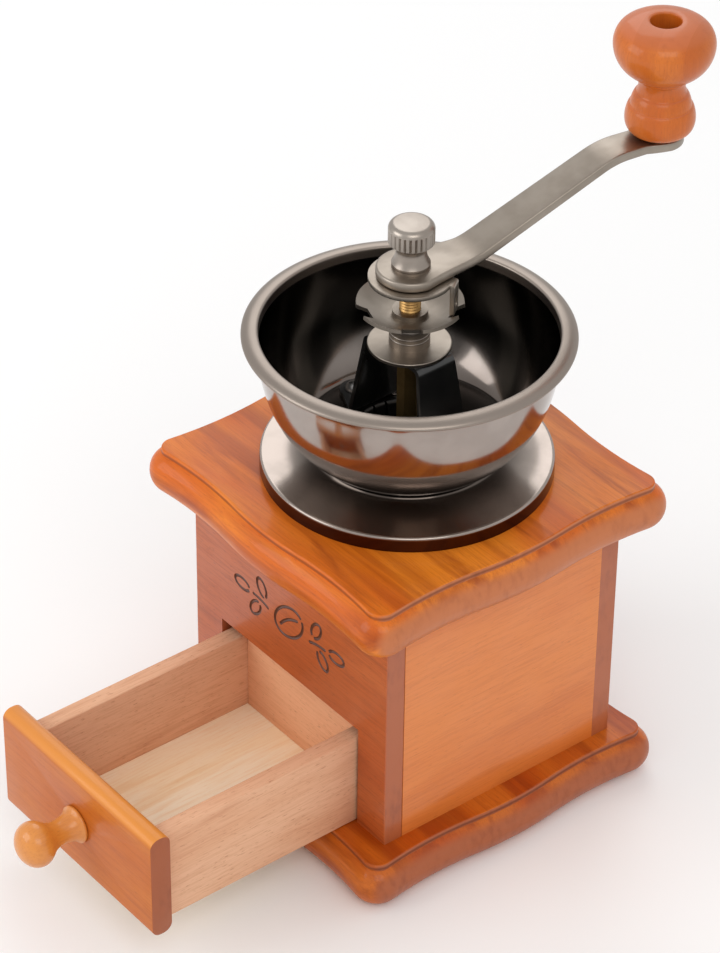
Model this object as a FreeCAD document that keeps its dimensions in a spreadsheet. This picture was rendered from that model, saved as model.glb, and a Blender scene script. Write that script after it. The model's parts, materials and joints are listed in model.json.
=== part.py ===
import FreeCAD, Part
import math
import os

# Hand coffee mill: a wooden case with a drawer, a metal hopper on the lid, a conical burr under it
# and a crank on top. Millimetres, +Z up, origin at the middle of the underside of the base board.
# The drawer faces -Y and stands pulled out; +X is to the right for someone facing the drawer.

doc = FreeCAD.newDocument("CoffeeMill")
sheet = doc.addObject("Spreadsheet::Sheet", "Sizes")
V = FreeCAD.Vector

driving = {
    # wooden case
    "caseWidth": 100.0,
    "caseDepth": 95.4,
    "caseHeight": 84.6,
    "panelThickness": 7.3,
    "boardThickness": 16.8,
    "boardHalf": 62.2,
    "waveDepth": 2.0,
    "wavePlace": 33.0,
    "cornerRadius": 9.0,
    "beadHeight": 15.4,
    "beadRadius": 7.6,
    "stepInset": 4.0,
    "arris": 0.6,
    "openingHalf": 36.0,
    "openingHeight": 38.8,
    "guideHeight": 14.0,
    "guideGap": 0.6,
    # drawer
    "drawerHalf": 35.0,
    "drawerLength": 87.6,
    "drawerHeight": 34.0,
    "drawerWall": 6.0,
    "drawerLift": 0.3,
    "drawerPull": 76.6,
    "floorThickness": 3.0,
    "floorRaise": 1.5,
    "frontWidth": 80.0,
    "frontHeight": 39.3,
    "frontThickness": 7.5,
    "bullnose": 3.2,
    # hopper
    "flangeRadius": 47.2,
    "flangeHeight": 8.8,
    "sheetMetal": 1.0,
    "rimRadius": 52.85,
    "bowlFoot": 30.0,
    "bowlFloor": 4.0,
    "throatRadius": 20.3,
    # burr and its bearings
    "ringRadius": 18.9,
    "ringTop": 29.5,
    "earThickness": 3.0,
    "earReach": 27.0,
    "barThickness": 2.0,
    "coneRise": 6.6,
    "coneHeight": 19.5,
    "coneRadius": 14.6,
    # spindle and bridge
    "hexFlats": 6.5,
    "hexBore": 3.82,
    "threadRadius": 3.4,
    "studRadius": 2.5,
    "footReach": 26.8,
    "bridgeHeight": 33.1,
    "bridgeSheet": 1.6,
    "plateRadius": 13.3,
    "plateThickness": 1.2,
    "bushRadius": 6.5,
    "bushHeight": 8.6,
    # grind adjustment
    "wheelRadius": 17.0,
    "wheelDish": 5.2,
    "wheelSheet": 1.2,
    "notchCount": 5,
    "lockHeight": 188.6,
    "lockThickness": 1.4,
    "tabAngle": 35.0,
    # crank
    "crankAngle": 82.0,
    "crankReach": 90.5,
    "crankLift": 21.0,
    "armThickness": 3.2,
    "hubRadius": 11.0,
    "padRadius": 8.0,
    "nutRadius": 7.3,
    "nutHeight": 15.3,
    "knobHeight": 39.1,
    "pinRadius": 3.0,
    # fasteners
    "screwRadius": 1.75,
}
for row, (alias, value) in enumerate(driving.items(), start=1):
    sheet.set(f"A{row}", alias)
    sheet.set(f"B{row}", str(value))
    sheet.setAlias(f"B{row}", alias)
doc.recompute()


def mm(alias):
    return float(sheet.get(alias))


# Heights shared by many pieces, as formulas of the sheet and as numbers.
lidBottomFormula = "Sizes.boardThickness + Sizes.caseHeight"
lidTopFormula = "2 * Sizes.boardThickness + Sizes.caseHeight"
bowlSeatFormula = lidTopFormula + " + Sizes.flangeHeight"
floorFormula = bowlSeatFormula + " + Sizes.bowlFloor"
plateTopFormula = floorFormula + " + Sizes.bridgeHeight + Sizes.plateThickness"
armFormula = "Sizes.lockHeight + Sizes.lockThickness + 0.2"
padTopFormula = armFormula + " + Sizes.armThickness + Sizes.crankLift"

lidBottom = mm("boardThickness") + mm("caseHeight")
lidTop = lidBottom + mm("boardThickness")
bowlSeat = lidTop + mm("flangeHeight")
hopperFloor = bowlSeat + mm("bowlFloor")
bridgeTop = hopperFloor + mm("bridgeHeight")
plateTop = bridgeTop + mm("plateThickness")
bushTop = plateTop + mm("bushHeight")
armBottom = mm("lockHeight") + mm("lockThickness") + 0.2
armTop = armBottom + mm("armThickness")
clearance = 0.06
holePlay = 0.25
screwReachX = 43.0
screwReachY = (mm("caseDepth") - mm("panelThickness")) / 2
screwPlaces = [(sx * screwReachX, sy * screwReachY) for sx in (-1, 1) for sy in (-1, 1)]
kept = {}


def keep(piece, label):
    piece.Label = label
    kept[label] = piece
    return piece


def planeOf(body, role):
    return next(feature for feature in body.Origin.OriginFeatures if feature.Role == role)


def newBody(name):
    return doc.addObject("PartDesign::Body", name)


def newSketch(body, name, role="XY_Plane", offset=0.0):
    sketch = body.newObject("Sketcher::SketchObject", f"{body.Name}_{name}")
    sketch.AttachmentSupport = [(planeOf(body, role), "")]
    sketch.MapMode = "FlatFace"
    sketch.AttachmentOffset = FreeCAD.Placement(V(0, 0, offset), FreeCAD.Rotation())
    return sketch


def outline(points):
    # A closed outline: a point is a straight run to it, a pair of points an arc through the first to the second.
    curves = []
    here = V(*points[0], 0)
    steps = list(points[1:])
    if points[0] not in (steps[-1], steps[-1][1]):
        steps.append(points[0])
    for step in steps:
        if isinstance(step[0], tuple):
            end = V(*step[1], 0)
            curves.append(Part.Arc(here, V(*step[0], 0), end))
        else:
            end = V(*step, 0)
            curves.append(Part.LineSegment(here, end))
        here = end
    return curves


def circle(x, y, radius):
    return Part.Circle(V(x, y, 0), V(0, 0, 1), radius)


def slot(reach, radius):
    # A bar along Y with round ends whose centres lie at -reach and +reach.
    return outline([(-radius, -reach), ((0, -reach - radius), (radius, -reach)), (radius, reach),
                    ((0, reach + radius), (-radius, reach))])


def pad(body, sketch, length, backwards=False):
    feature = body.newObject("PartDesign::Pad", f"{sketch.Name}_Pad")
    feature.Profile = sketch
    feature.setExpression("Length", length)
    feature.Reversed = backwards
    return feature


def pocket(body, sketch, length, backwards=False):
    doc.recompute()
    before = body.Shape.Volume
    feature = body.newObject("PartDesign::Pocket", f"{sketch.Name}_Pocket")
    feature.Profile = sketch
    feature.setExpression("Length", length)
    feature.Reversed = backwards
    doc.recompute()
    if not feature.Shape.Volume < before - 0.01:
        raise RuntimeError(f"{feature.Name} cuts nothing")
    return feature


def revolve(body, sketch, kind="PartDesign::Revolution"):
    feature = body.newObject(kind, f"{sketch.Name}_Turn")
    feature.Profile = sketch
    feature.ReferenceAxis = (sketch, ["V_Axis"])
    feature.Angle = 360.0
    return feature


def around(body, feature, sketch, count):
    pattern = body.newObject("PartDesign::PolarPattern", f"{feature.Name}_Pattern")
    pattern.Originals = [feature]
    pattern.Axis = (sketch, ["N_Axis"])
    pattern.Angle = 360.0
    pattern.Occurrences = count
    body.Tip = pattern
    return pattern


def roundEdges(body, radius, chosen):
    doc.recompute()
    base = body.Tip
    names = [f"Edge{i}" for i, edge in enumerate(base.Shape.Edges, start=1) if chosen(edge)]
    feature = body.newObject("PartDesign::Fillet", f"{body.Name}_Round{len(body.Group)}")
    feature.Base = (base, names)
    feature.setExpression("Radius", radius)
    return feature


def flatAt(level):
    return lambda edge: all(abs(vertex.Z - level) < 1e-4 for vertex in edge.Vertexes)


def turned(label, points, heightFormula):
    # A piece of revolution about Z: points are (radius, height) above its own seat.
    body = newBody(label)
    sketch = newSketch(body, "Profile", "XZ_Plane")
    sketch.addGeometry(outline(points), False)
    revolve(body, sketch)
    body.setExpression("Placement.Base.z", heightFormula)
    return keep(body, label)


def box(label, formulas):
    piece = doc.addObject("Part::Box", label)
    for name, formula in zip(("Length", "Width", "Height", "Placement.Base.x", "Placement.Base.y",
                              "Placement.Base.z"), formulas):
        piece.setExpression(name, formula)
    return piece


def bar(name, radius, height, x, y, z, direction=V(0, 0, 1)):
    piece = doc.addObject("Part::Cylinder", name)
    piece.Radius = radius
    piece.Height = height
    piece.Placement = FreeCAD.Placement(V(x, y, z), FreeCAD.Rotation(V(0, 0, 1), direction))
    return piece


def combine(kind, label, pieces):
    result = doc.addObject(kind, label)
    result.Shapes = pieces
    return result


def cut(label, base, tools):
    result = doc.addObject("Part::Cut", label)
    result.Base = base
    result.Tool = tools[0] if len(tools) == 1 else combine("Part::MultiFuse", f"{label}_Tools", tools)
    return result


def group(label, template, placements):
    # Copies of one fastener, as separate solids of one node.
    doc.recompute()
    solids = []
    for place in placements:
        solid = template.Shape.copy()
        solid.Placement = place.multiply(solid.Placement)
        solids.append(solid)
    piece = doc.addObject("Part::Feature", label)
    piece.Shape = Part.makeCompound(solids)
    return keep(piece, label)


# ---- the two moulded boards ----

def waveOutline(inset):
    # A square with a convex middle, a hollow near each corner and round corners, all arcs tangent.
    depth, place, corner = mm("waveDepth"), mm("wavePlace"), mm("cornerRadius") - inset
    middle = (place ** 2 + depth ** 2) / (4 * depth)
    crest, hollow = middle - inset, middle + inset
    crestY = mm("boardHalf") - inset - crest
    hollowY = crestY + crest - depth + hollow
    # the corner's centre (k, k) lies hollow + corner away from the hollow's centre
    b = place + hollowY
    c = (place ** 2 + hollowY ** 2 - (hollow + corner) ** 2) / 2
    k = (b - math.sqrt(b * b - 4 * c)) / 2
    fromHollow = V(k - place, k - hollowY, 0).normalize()
    join = V(place, hollowY, 0) + fromHollow * hollow
    rise = V(place, hollowY - crestY, 0).normalize()
    start = V(0, crestY, 0) + rise * crest
    mirrorStart, mirrorJoin = V(-start.x, start.y, 0), V(-join.x, join.y, 0)
    hollowMid = V(place, hollowY, 0) + (start + join - V(place, hollowY, 0) * 2).normalize() * hollow
    curves = []
    for quarter in range(4):
        turn = FreeCAD.Rotation(V(0, 0, 1), -90 * quarter)
        arcs = [
            (mirrorJoin, V(-hollowMid.x, hollowMid.y, 0), mirrorStart),
            (mirrorStart, V(0, crestY + crest, 0), start),
            (start, hollowMid, join),
            (join, V(k, k, 0) + V(1, 1, 0).normalize() * corner, V(join.y, join.x, 0)),
        ]
        curves += [Part.Arc(*(turn.multVec(p) for p in arc)) for arc in arcs]
    return curves


def mouldedBoard(name):
    body = newBody(name)
    bead = newSketch(body, "Bead")
    bead.addGeometry(waveOutline(0.0), False)
    pad(body, bead, "Sizes.beadHeight")
    roundEdges(body, "Sizes.beadRadius", lambda edge: flatAt(0.0)(edge) or flatAt(mm("beadHeight"))(edge))
    step = newSketch(body, "Step", offset=mm("beadHeight") / 2)
    step.addGeometry(waveOutline(mm("stepInset")), False)
    pad(body, step, "Sizes.boardThickness - Sizes.beadHeight / 2")
    roundEdges(body, "Sizes.arris", flatAt(mm("boardThickness")))
    return body


def drill(body, name, places, radius, depth, fromTop=False):
    # Round holes up from the underside, or down from the top of a board.
    sketch = newSketch(body, name, offset=mm("boardThickness") if fromTop else 0.0)
    sketch.addGeometry([circle(x, y, radius) for x, y in places], False)
    return pocket(body, sketch, depth, backwards=not fromTop)


def boards():
    base = mouldedBoard("base_board")
    drill(base, "ScrewHoles", screwPlaces, mm("screwRadius") + holePlay, "Sizes.boardThickness")
    drill(base, "HeadHoles", screwPlaces, 2.2 * mm("screwRadius"), "3")
    keep(base, "base_board")

    lid = mouldedBoard("top_board")
    drill(lid, "BurrHole", [(0, 0)], 20.5, "Sizes.boardThickness")
    feet = [(mm("footReach"), 0), (-mm("footReach"), 0)]
    drill(lid, "BracketHoles", feet, mm("screwRadius") + 0.03, "13.8", fromTop=True)
    ears = [(0, mm("earReach")), (0, -mm("earReach"))]
    drill(lid, "EarHoles", ears, mm("screwRadius") + 0.03, "10.8")
    lid.setExpression("Placement.Base.z", lidBottomFormula)
    keep(lid, "top_board")


# ---- the case ----

def groove(points):
    # A round-bottomed cut, 1.2 wide and 0.5 deep, along a smooth line on the front face.
    radius = 0.62
    face = -mm("caseDepth") / 2 - 0.12
    path = [V(x, face, z) for x, z in points]
    curve = Part.BSplineCurve()
    curve.interpolate(path)
    edge = curve.toShape()
    tangent = edge.tangentAt(edge.FirstParameter)
    profile = Part.Wire([Part.makeCircle(radius, path[0], tangent)])
    pipe = Part.Wire([edge]).makePipeShell([profile], True, True)
    return [pipe, Part.makeSphere(radius, path[0]), Part.makeSphere(radius, path[-1])]


def loopOf(centre, degrees, length, width, gap):
    # An oval line, open for 'gap' degrees on both sides of its starting end.
    angle = math.radians(degrees)
    turns = [math.radians(gap + (360 - 2 * gap) * i / 17) for i in range(18)]
    return [(centre[0] + length * math.cos(a) * math.cos(angle) - width * math.sin(a) * math.sin(angle),
             centre[1] + length * math.cos(a) * math.sin(angle) + width * math.sin(a) * math.cos(angle))
            for a in turns]


def ornament():
    # A coffee bean between two sprigs of leaves, above the drawer.
    height = 76.5
    tilt = math.radians(35)
    strokes = [loopOf((0, height), 35, 8.0, 5.4, 10)]
    crease = [(along, 0.9 - 0.035 * along * along) for along in (-5.2, -2.6, 0.0, 2.6, 5.2)]
    strokes.append([(x * math.cos(tilt) - z * math.sin(tilt), height + x * math.sin(tilt) + z * math.cos(tilt))
                    for x, z in crease])
    stem = [(11.0, height - 1.0), (13.6, height - 0.2), (16.2, height + 0.2), (18.6, height + 0.3)]
    leaves = [((14.2, height + 5.2), 242, 3.5, 2.1), ((17.6, height - 4.8), 128, 3.5, 2.1),
              ((24.6, height + 0.8), 184, 3.8, 2.1)]
    for side in (-1, 1):
        strokes.append([(side * x, z) for x, z in stem])
        strokes += [[(side * x, z) for x, z in loopOf(*leaf, 26)] for leaf in leaves]
    shapes = [solid for stroke in strokes for solid in groove(stroke)]
    piece = doc.addObject("Part::Feature", "Ornament")
    piece.Shape = shapes[0].multiFuse(shapes[1:])
    return piece


def case():
    half = mm("caseWidth") / 2
    front = newBody("front_blank")
    face = newSketch(front, "Face", "XZ_Plane")
    low, high = mm("openingHeight"), mm("caseHeight")
    gap = mm("openingHalf")
    face.addGeometry(outline([(-half, 0), (-gap, 0), (-gap, low), (gap, low), (gap, 0), (half, 0),
                              (half, high), (-half, high)]), False)
    pad(front, face, "Sizes.panelThickness")
    roundEdges(front, "0.5", lambda edge: abs(edge.Length - high) < 0.01)
    front.setExpression("Placement.Base.y", "Sizes.panelThickness - Sizes.caseDepth / 2")
    front.setExpression("Placement.Base.z", "Sizes.boardThickness")

    back = box("back_blank",
               ("Sizes.caseWidth", "Sizes.panelThickness", "Sizes.caseHeight", "-Sizes.caseWidth / 2",
                              "Sizes.caseDepth / 2 - Sizes.panelThickness", "Sizes.boardThickness"))
    backRound = doc.addObject("Part::Fillet", "back_round")
    backRound.Base = back
    doc.recompute()
    outer = [i for i, edge in enumerate(back.Shape.Edges, start=1)
             if all(vertex.Y > mm("caseDepth") / 2 - 0.01 for vertex in edge.Vertexes)
             and abs(edge.Length - high) < 0.01]
    backRound.Edges = [(i, 0.5, 0.5) for i in outer]

    pilots = {"front": [], "back": []}
    for number, (x, y) in enumerate(screwPlaces):
        wall = "front" if y < 0 else "back"
        pilots[wall].append(bar(f"pilot{number}", mm("screwRadius") + 0.03, 18, x, y, mm("boardThickness")))
    carved = cut("front_cut", front, [ornament()] + pilots["front"])
    carved.Refine = False
    keep(carved, "front_panel")
    keep(cut("back_cut", backRound, pilots["back"]), "back_panel")

    depth = "Sizes.caseDepth - 2 * Sizes.panelThickness"
    inner = "Sizes.caseWidth / 2 - Sizes.panelThickness"
    for label, x in (("left_panel", "-Sizes.caseWidth / 2"), ("right_panel", inner)):
        keep(box(label, ("Sizes.panelThickness", depth, "Sizes.caseHeight", x,
                         "Sizes.panelThickness - Sizes.caseDepth / 2", "Sizes.boardThickness")), label)
    width = f"{inner} - Sizes.drawerHalf - Sizes.guideGap"
    for label, x in (("drawer_guide_left", f"-({inner})"),
                     ("drawer_guide_right", "Sizes.drawerHalf + Sizes.guideGap")):
        keep(box(label, (width, depth, "Sizes.guideHeight", x,
                         "Sizes.panelThickness - Sizes.caseDepth / 2", "Sizes.boardThickness")), label)


# ---- the drawer ----

def drawer():
    back = "(-Sizes.caseDepth / 2 - Sizes.drawerPull)"
    rise = "Sizes.boardThickness + Sizes.drawerLift"
    for label, x in (("drawer_left_side", "-Sizes.drawerHalf"),
                     ("drawer_right_side", "Sizes.drawerHalf - Sizes.drawerWall")):
        keep(box(label, ("Sizes.drawerWall", "Sizes.drawerLength", "Sizes.drawerHeight", x, back, rise)),
             label)
    inside = "2 * (Sizes.drawerHalf - Sizes.drawerWall)"
    left = "Sizes.drawerWall - Sizes.drawerHalf"
    keep(box("drawer_back", (inside, "Sizes.drawerWall", "Sizes.drawerHeight", left,
                             f"{back} + Sizes.drawerLength - Sizes.drawerWall", rise)), "drawer_back")
    keep(box("drawer_floor",
             (inside, "Sizes.drawerLength - Sizes.drawerWall", "Sizes.floorThickness", left, back,
                              f"{rise} + Sizes.floorRaise")), "drawer_floor")

    thick, high, soft = mm("frontThickness"), mm("frontHeight"), mm("bullnose")
    nip = soft * (1 - math.sqrt(0.5))
    front = newBody("front_board")
    profile = newSketch(front, "Profile", "YZ_Plane")
    profile.addGeometry(outline([
        (-thick + soft, 0), (-soft, 0), ((-nip, nip), (0, soft)), (0, high - soft),
        ((-nip, high - nip), (-soft, high)),
        (-thick + soft, high), ((-thick + nip, high - nip), (-thick, high - soft)), (-thick, soft),
        ((-thick + nip, nip), (-thick + soft, 0))]), False)
    pad(front, profile, "Sizes.frontWidth")
    front.setExpression("Placement.Base.x", "-Sizes.frontWidth / 2")
    front.setExpression("Placement.Base.y", back)
    front.setExpression("Placement.Base.z", rise)

    # the knob, its screw and the hole share one line through the middle of the front
    faceY = -mm("caseDepth") / 2 - mm("drawerPull") - thick
    axisZ = mm("boardThickness") + mm("drawerLift") + high / 2
    hole = bar("knob_hole", mm("screwRadius") + holePlay, thick + 2, 0, faceY - 1, axisZ, V(0, 1, 0))
    keep(cut("front_drilled", front, [hole]), "drawer_front")
    outward = FreeCAD.Placement(V(0, faceY, axisZ), FreeCAD.Rotation(V(0, 0, 1), V(0, -1, 0)))
    bore = mm("screwRadius") + 0.03
    knob = newBody("drawer_knob")
    shape = newSketch(knob, "Profile", "XZ_Plane")
    shape.addGeometry(outline([
        (bore, 0), (6.2, 0), ((6.5, 0.7), (6.1, 1.4)), ((4.6, 4.0), (4.1, 7.4)), ((5.0, 10.6), (6.6, 12.6)),
        ((7.7, 16.2), (5.6, 20.0)), ((3.8, 21.4), (1.2, 22.0)), (0, 22.0), (0, 12), (bore, 11)]), False)
    revolve(knob, shape)
    knob.Placement = outward
    keep(knob, "drawer_knob")

    screw = screwTemplate("knob_screw_blank", 3.6, 2.0, 17.5)
    inward = FreeCAD.Placement(V(0, faceY + thick, axisZ), FreeCAD.Rotation(V(0, 0, 1), V(0, 1, 0)))
    group("drawer_knob_screw", screw, [inward])


def screwTemplate(name, headRadius, headHeight, length, countersunk=False):
    # A wood screw standing head up on z = 0 with its point below, and a cross cut in its head.
    shank = mm("screwRadius")
    body = newBody(name)
    profile = newSketch(body, "Profile", "XZ_Plane")
    if countersunk:
        head = [(headRadius, 0), (headRadius, -0.4), (shank, -headHeight)]
        top = 0.0
    else:
        head = [(0, headHeight), (0.6, headHeight),
                ((headRadius * 0.74, headHeight * 0.74), (headRadius, 0.4)),
                (headRadius, 0), (shank, 0)]
        top = headHeight
    tail = [(shank, 3 - length), (0.3, -length), (0, -length)]
    points = head + tail
    if countersunk:
        points = [(0, 0)] + points
    profile.addGeometry(outline(points), False)
    revolve(body, profile)
    cross = newSketch(body, "Cross", offset=top)
    long, wide = headRadius * 0.62, 0.45
    cross.addGeometry(outline([
        (-long, -wide), (-wide, -wide), (-wide, -long), (wide, -long), (wide, -wide), (long, -wide),
        (long, wide), (wide, wide), (wide, long), (-wide, long), (-wide, wide), (-long, wide)]), False)
    pocket(body, cross, "1.1")
    return body


def caseScrews():
    screw = screwTemplate("case_screw_blank", 3.6, 2.4, 29.0, countersunk=True)
    upward = FreeCAD.Rotation(V(1, 0, 0), 180)
    group("base_screws", screw, [FreeCAD.Placement(V(x, y, 0.5), upward) for x, y in screwPlaces])


# ---- the hopper ----

def punch(body, name, places, radius, level, depth):
    sketch = newSketch(body, name, offset=level)
    sketch.addGeometry([circle(x, y, radius) for x, y in places], False)
    return pocket(body, sketch, depth)


def hopper():
    edge, top, sheetMetal = mm("flangeRadius"), mm("flangeHeight"), mm("sheetMetal")
    lip = 5.3
    foot = mm("bowlFoot")
    flange = turned("hopper_flange", [
        (edge, 0), (edge, lip - 0.9), ((edge - 0.25, lip - 0.25), (edge - 0.9, lip)),
        ((38.0, 6.1), (foot + 1.6, 7.7)), ((foot + 0.75, 8.15), (foot + 0.4, top)), (22.5, top),
        (22.5, top - sheetMetal), (foot - 0.6, top - sheetMetal), ((37.4, 5.1), (edge - 1.3, lip - 1.0)),
        (edge - 1.0, lip - 1.4), (edge - 1.0, 0)], lidTopFormula)
    feet = [(mm("footReach"), 0), (-mm("footReach"), 0)]
    hole = mm("screwRadius") + holePlay
    punch(flange, "Holes", feet, hole, top + 1, "3")

    floor, rim, throat = mm("bowlFloor"), mm("rimRadius"), mm("throatRadius")
    bowl = turned("hopper_bowl", [
        (foot - 1, 0), (foot, 0), ((38.4, 7.8), (44.3, 18.0)), ((46.7, 25.5), (48.2, 37.0)),
        ((48.9, 39.4), (50.6, 40.3)), (rim - 0.7, 40.6), ((rim, 41.3), (rim - 0.5, 42.1)),
        ((50.3, 43.1), (48.0, 43.2)), ((47.4, 43.0), (47.2, 42.4)), (47.2, 37.2),
        ((45.7, 25.8), (43.4, 18.5)), ((39.3, 10.8), (34.4, floor + 1.0)),
        ((33.3, floor + 0.25), (32.0, floor)),
        (throat, floor), (throat, floor - 1), (foot - 1, floor - 1)], bowlSeatFormula)
    punch(bowl, "Holes", feet, hole, floor + 1, "3")


# ---- the burr under the lid ----

def burr():
    ear, reach = mm("earThickness"), mm("earReach")
    outer, top = mm("ringRadius"), mm("ringTop")
    ring = newBody("burr_ring")
    ears = newSketch(ring, "Ears", offset=-ear)
    ears.addGeometry(slot(reach, 6.0), False)
    pad(ring, ears, "Sizes.earThickness")
    wall = newSketch(ring, "Wall", "XZ_Plane")
    wall.addGeometry(outline([
        (0, -ear), (22.5, -ear), (22.5, 0), (outer, 0), (outer, top - 3.6), (20.0, top - 2.4),
        (20.0, top - 0.5),
        ((19.85, top - 0.15), (19.5, top)), (0, top)]), False)
    revolve(ring, wall)
    bore = newSketch(ring, "Bore", "XZ_Plane")
    bore.addGeometry(outline([
        (0, -ear - 1), (16.8, -ear - 1), (16.8, 2.0), (15.3, 7.5), (16.7, top - 1.2),
        ((17.0, top - 0.4), (17.7, top)), (17.7, top + 1), (0, top + 1)]), False)
    revolve(ring, bore, "PartDesign::Groove")
    tooth = newSketch(ring, "Tooth", offset=top + 1)
    tooth.addGeometry(outline([(14.6, -1.1), (17.75, -0.25), (17.75, 0.25), (14.6, 1.1)]), False)
    cutOne = pocket(ring, tooth, "Sizes.ringTop + 1")
    around(ring, cutOne, tooth, 24)
    holes = newSketch(ring, "Holes", offset=1.0)
    holes.addGeometry([circle(0, reach, 2.0), circle(0, -reach, 2.0)], False)
    pocket(ring, holes, "2 * Sizes.earThickness")
    ring.setExpression("Placement.Base.z", lidBottomFormula)
    keep(ring, "burr_ring")

    strap = newBody("lower_bearing_bar")
    shape = newSketch(strap, "Shape")
    shape.addGeometry(slot(reach, 6.0), False)
    shape.addGeometry([circle(0, 0, 3.0 + clearance), circle(0, reach, 2.0), circle(0, -reach, 2.0)], False)
    pad(strap, shape, "Sizes.barThickness")
    strap.setExpression("Placement.Base.z", f"{lidBottomFormula} - Sizes.earThickness - Sizes.barThickness")
    keep(strap, "lower_bearing_bar")

    barTop = lidBottom - ear
    screw = screwTemplate("ear_screw_blank", 3.3, 2.2, 15.0)
    upward = FreeCAD.Rotation(V(1, 0, 0), 180)
    group("burr_screws", screw, [FreeCAD.Placement(V(0, side * reach, barTop - mm("barThickness")), upward)
                                 for side in (-1, 1)])

    turned("spring_washer", [(4.0, 0), (8.0, 0), (8.0, 0.8), (4.0, 0.8)],
           f"{lidBottomFormula} - Sizes.earThickness")
    coil, wire = 6.0, 0.6
    low, high = barTop + 0.8 + wire, lidBottom + mm("coneRise") - 0.3 - wire
    turns, stepsPerTurn = 4, 12
    path = []
    for i in range(turns * stepsPerTurn + 1):
        turn = 2 * math.pi * i / stepsPerTurn
        path.append(V(coil * math.cos(turn), coil * math.sin(turn),
                      (high - low) * i / (turns * stepsPerTurn)))
    curve = Part.BSplineCurve()
    curve.interpolate(path)
    edge = curve.toShape()
    section = Part.Wire([Part.makeCircle(wire, path[0], edge.tangentAt(edge.FirstParameter))])
    spring = doc.addObject("Part::Feature", "pressure_spring")
    spring.Shape = Part.Wire([edge]).makePipeShell([section], True, True)
    spring.Placement = FreeCAD.Placement(V(0, 0, low), FreeCAD.Rotation())
    keep(spring, "pressure_spring")

    # the turning cone: a tapered core with slanting flutes and fine teeth round its foot
    wide, tall = mm("coneRadius"), mm("coneHeight")
    cone = newBody("cone_blank")
    core = newSketch(cone, "Profile", "XZ_Plane")
    core.addGeometry(outline([
        (mm("hexBore"), 0), (wide - 0.8, 0), (wide, 1.0), (wide - 0.3, 4.5), (6.6, tall - 1.2), (5.8, tall),
        (mm("hexBore"), tall)]), False)
    revolve(cone, core)
    cone.setExpression("Placement.Base.z", f"{lidBottomFormula} + Sizes.coneRise")
    lean = math.atan2(wide - 6.6, tall - 5.7)
    tools = []
    for number in range(8):
        flute = doc.addObject("Part::Prism", f"flute{number}")
        flute.Polygon = 3
        flute.Circumradius = 2.4
        flute.Height = 24
        around8 = FreeCAD.Rotation(V(0, 0, 1), 45 * number)
        tilt = FreeCAD.Rotation(V(0, 1, 0), -math.degrees(lean))
        skew = FreeCAD.Rotation(V(1, 0, 0), 28)
        start = around8.multVec(V(wide + 1.2, 0, 0)) + V(0, 0, lidBottom + mm("coneRise") + 2.0)
        flute.Placement = FreeCAD.Placement(start, around8.multiply(tilt).multiply(skew))
        tools.append(flute)
    keep(cut("cone_cut", cone, tools), "burr_cone")
    turned("cone_clip", [(mm("hexBore"), 0), (6.0, 0), (6.0, 1.0), (mm("hexBore"), 1.0)],
           f"{lidBottomFormula} + Sizes.coneRise + Sizes.coneHeight + 0.05")


# ---- the spindle and the bridge that carries it ----

def spindle():
    flats, thread, stud = mm("hexFlats"), mm("threadRadius"), mm("studRadius")
    hexBottom, hexTop = lidBottom - mm("earThickness") + 1.0, bushTop
    body = newBody("spindle")
    shape = newSketch(body, "Hex", offset=hexBottom)
    corner = flats / math.sqrt(3)
    shape.addGeometry(outline([(corner * math.cos(math.radians(60 * i)),
                                corner * math.sin(math.radians(60 * i)))
                               for i in range(6)]), False)
    pad(body, shape, str(hexTop - hexBottom))
    ends = newSketch(body, "Ends", "XZ_Plane")
    ends.addGeometry(outline([(0, hexBottom - 4.4), (2.5, hexBottom - 4.4), (3.0, hexBottom - 3.9),
                              (3.0, hexBottom + 0.5), (0, hexBottom + 0.5)]), False)
    revolve(body, ends)
    pitch, root = 1.0, thread - 0.35
    first = bushTop + 4.0
    turns = int(mm("lockHeight") - first - 0.8)
    ridge = []
    for i in range(turns):
        ridge += [(root, first + (i + 0.5) * pitch), (thread, first + (i + 1) * pitch)]
    upper = newSketch(body, "Upper", "XZ_Plane")
    upper.addGeometry(outline([(0, bushTop - 0.5), (thread, bushTop - 0.5), (thread, first)] + ridge + [
        (thread, armBottom - 0.1), (stud, armBottom - 0.1), (stud, armTop + 10.6),
        (stud - 0.5, armTop + 11.2),
        (0, armTop + 11.2)]), False)
    revolve(body, upper)
    keep(body, "spindle")


def stripOutline(path, thickness, radius):
    # The edge view of a strip bent along path, with the same radius at the middle of every bend.
    points = [V(x, y, 0) for x, y in path]
    sides = []
    for side in (1, -1):
        shift = side * thickness / 2
        here = None
        curves = []
        for i, point in enumerate(points):
            along = (points[i] - points[i - 1]).normalize() if i else (points[1] - points[0]).normalize()
            onward = (points[i + 1] - points[i]).normalize() if i < len(points) - 1 else along
            left, nextLeft = V(-along.y, along.x, 0), V(-onward.y, onward.x, 0)
            if i in (0, len(points) - 1):
                end = point + left * shift
                if here:
                    curves.append(Part.LineSegment(here, end))
                here = end
                continue
            way = 1 if along.cross(onward).z > 0 else -1
            back = radius * math.tan(along.getAngle(onward) / 2)
            centre = point - along * back + left * (radius * way)
            begin = point - along * back + left * shift
            finish = point + onward * back + nextLeft * shift
            middle = centre + (point - centre).normalize() * (radius - way * shift)
            curves.append(Part.LineSegment(here, begin))
            curves.append(Part.Arc(begin, middle, finish))
            here = finish
        sides.append(curves)
    first, second = sides
    caps = [Part.LineSegment(a, b) for a, b in ((first[0].StartPoint, second[0].StartPoint),
                                                (first[-1].EndPoint, second[-1].EndPoint))]
    return first + second + caps


def slab(name, role, curves, length, offset, backwards=False):
    body = newBody(name)
    sketch = newSketch(body, "Shape", role, offset)
    sketch.addGeometry(curves, False)
    pad(body, sketch, str(length), backwards)
    return body


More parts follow.
